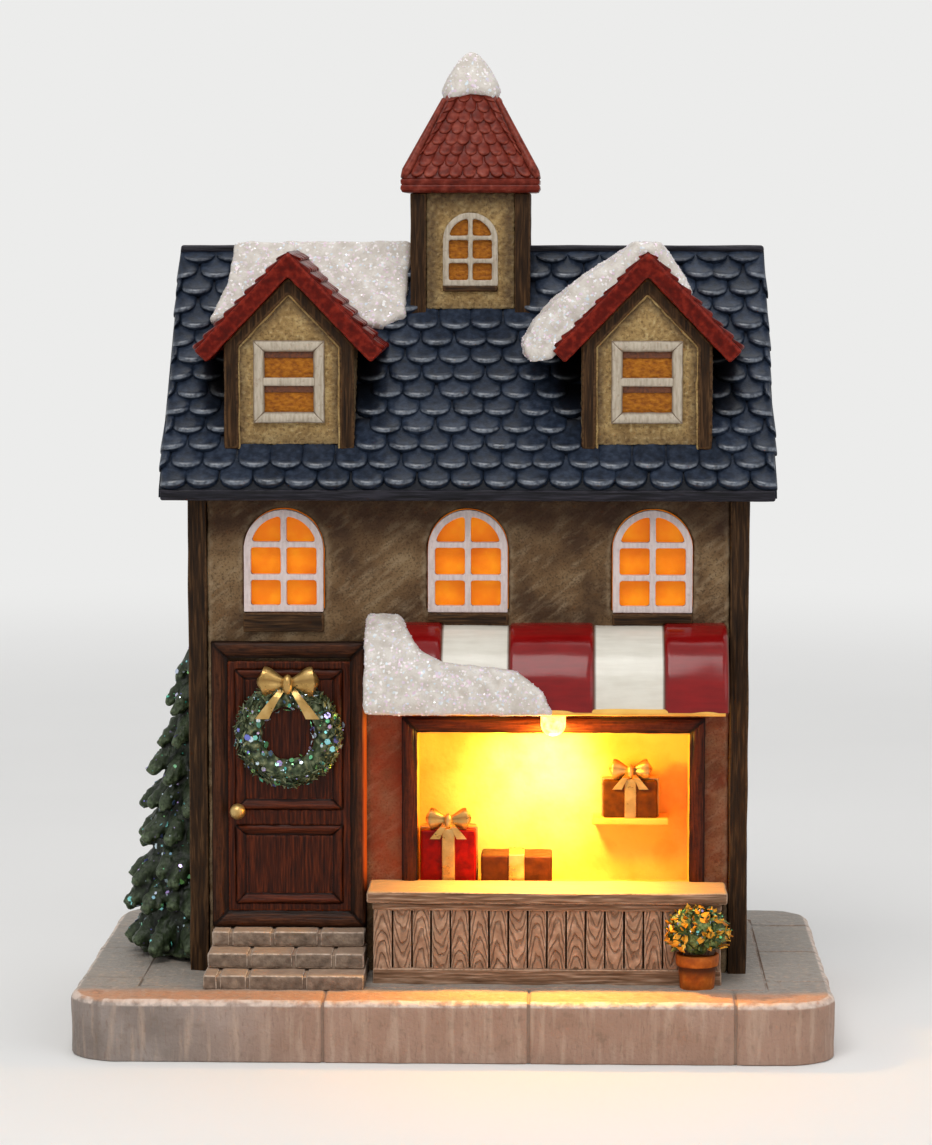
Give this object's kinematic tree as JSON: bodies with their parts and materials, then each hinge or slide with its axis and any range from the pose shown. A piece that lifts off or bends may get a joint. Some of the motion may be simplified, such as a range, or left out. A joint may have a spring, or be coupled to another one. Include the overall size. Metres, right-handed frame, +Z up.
{
  "type": "christmas village house",
  "caption": "Small lit Christmas village house in painted resin: shop front with striped awning, wreathed door, slate roof with dormers, turret and snow, battery lamps inside.",
  "frame": {"origin": "middle of the base's underside", "axes": "+Z up, the shop front faces -Y, +X to the right as seen from the front"},
  "size_m": [0.15, 0.096, 0.1983],
  "materials": {
    "paved_stone": "matt dry-brushed paint on cast resin",
    "wall_plaster": "matt dry-brushed paint on cast resin",
    "dark_timber": "matt dry-brushed paint on cast resin",
    "slate_tiles": "lacquered paint on cast resin",
    "red_tiles": "satin paint on cast resin",
    "tan_stucco": "matt stippled paint on cast resin",
    "window_white": "satin paint",
    "amber_pane": "rough translucent plastic, lit from behind",
    "red_wood": "satin paint on cast resin",
    "gold_paint": "metallic paint",
    "green_boughs": "matt paint with glitter grains",
    "grey_brick": "matt dry-brushed paint on cast resin",
    "counter_wood": "matt dry-brushed paint on cast resin",
    "cream_paint": "matt paint, lit by the lamp",
    "awning_paint": "gloss paint in red and ivory stripes",
    "snow": "matt white with glitter grains",
    "gift_red_paper": "satin paint",
    "gift_brown_paper": "satin paint",
    "terracotta": "matt paint",
    "black_plastic": "moulded plastic",
    "white_plastic": "moulded plastic",
    "lamp_lens": "clear epoxy lens, lit",
    "cell_jacket": "plain printed sleeve",
    "contact_metal": "nickel plated",
    "lead_sleeve": "thin insulated wire"
  },
  "bodies": {
    "house": {"awning": "awning_paint", "awning_snow": "snow", "base_plinth": "paved_stone", "battery_cells": "cell_jacket", "battery_contacts": "contact_metal", "battery_tray": "black_plastic", "christmas_tree": "green_boughs", "corner_posts": "dark_timber", "counter_front": "counter_wood", "counter_top": "counter_wood", "door_frame": "red_wood", "door_knob": "gold_paint", "door_leaf": "red_wood", "door_wreath": "green_boughs", "dormer_left_body": "tan_stucco", "dormer_left_roof": "red_tiles", "dormer_left_timber": "dark_timber", "dormer_left_window_frame": "window_white", "dormer_left_window_pane": "amber_pane", "dormer_right_body": "tan_stucco", "dormer_right_roof": "red_tiles", "dormer_right_timber": "dark_timber", "dormer_right_window_frame": "window_white", "dormer_right_window_pane": "amber_pane", "dormer_snow": "snow", "front_steps": "grey_brick", "gift_flat": "gift_brown_paper", "gift_gold": "gold_paint", "gift_red": "gift_red_paper", "house_walls": "wall_plaster", "lamp_leads": "lead_sleeve", "main_roof": "slate_tiles", "plant_bush": "green_boughs", "plant_pot": "terracotta", "roof_snow": "snow", "shop_frame": "dark_timber", "shop_lamp_bulb": "lamp_lens", "shop_lamp_socket": "white_plastic", "shop_niche": "cream_paint", "shop_shelf": "cream_paint", "switch_body": "contact_metal", "turret_body": "tan_stucco", "turret_posts": "dark_timber", "turret_roof": "red_tiles", "turret_snow_cap": "snow", "turret_window_frame": "window_white", "turret_window_pane": "amber_pane", "upper_window_frame_centre": "window_white", "upper_window_frame_left": "window_white", "upper_window_frame_right": "window_white", "upper_window_pane_centre": "amber_pane", "upper_window_pane_left": "amber_pane", "upper_window_pane_right": "amber_pane", "window_lamp_bulb": "lamp_lens", "window_lamp_socket": "white_plastic", "window_sills": "dark_timber", "wreath_bow": "gold_paint"},
    "battery_door": {"battery_door": "black_plastic"},
    "switch_slider": {"switch_slider": "black_plastic"}
  },
  "joints": [
    {"name": "battery_door_hinge", "type": "hinge", "parent": "house", "child": "battery_door", "pos_m": [-0.0059, 0.0181, 0.0024], "axis": [1, 0, 0], "range_deg": [0, 90]},
    {"name": "switch_slide", "type": "slide", "parent": "house", "child": "switch_slider", "axis": [1, 0, 0], "range_m": [0, 0.0022]}
  ]
}
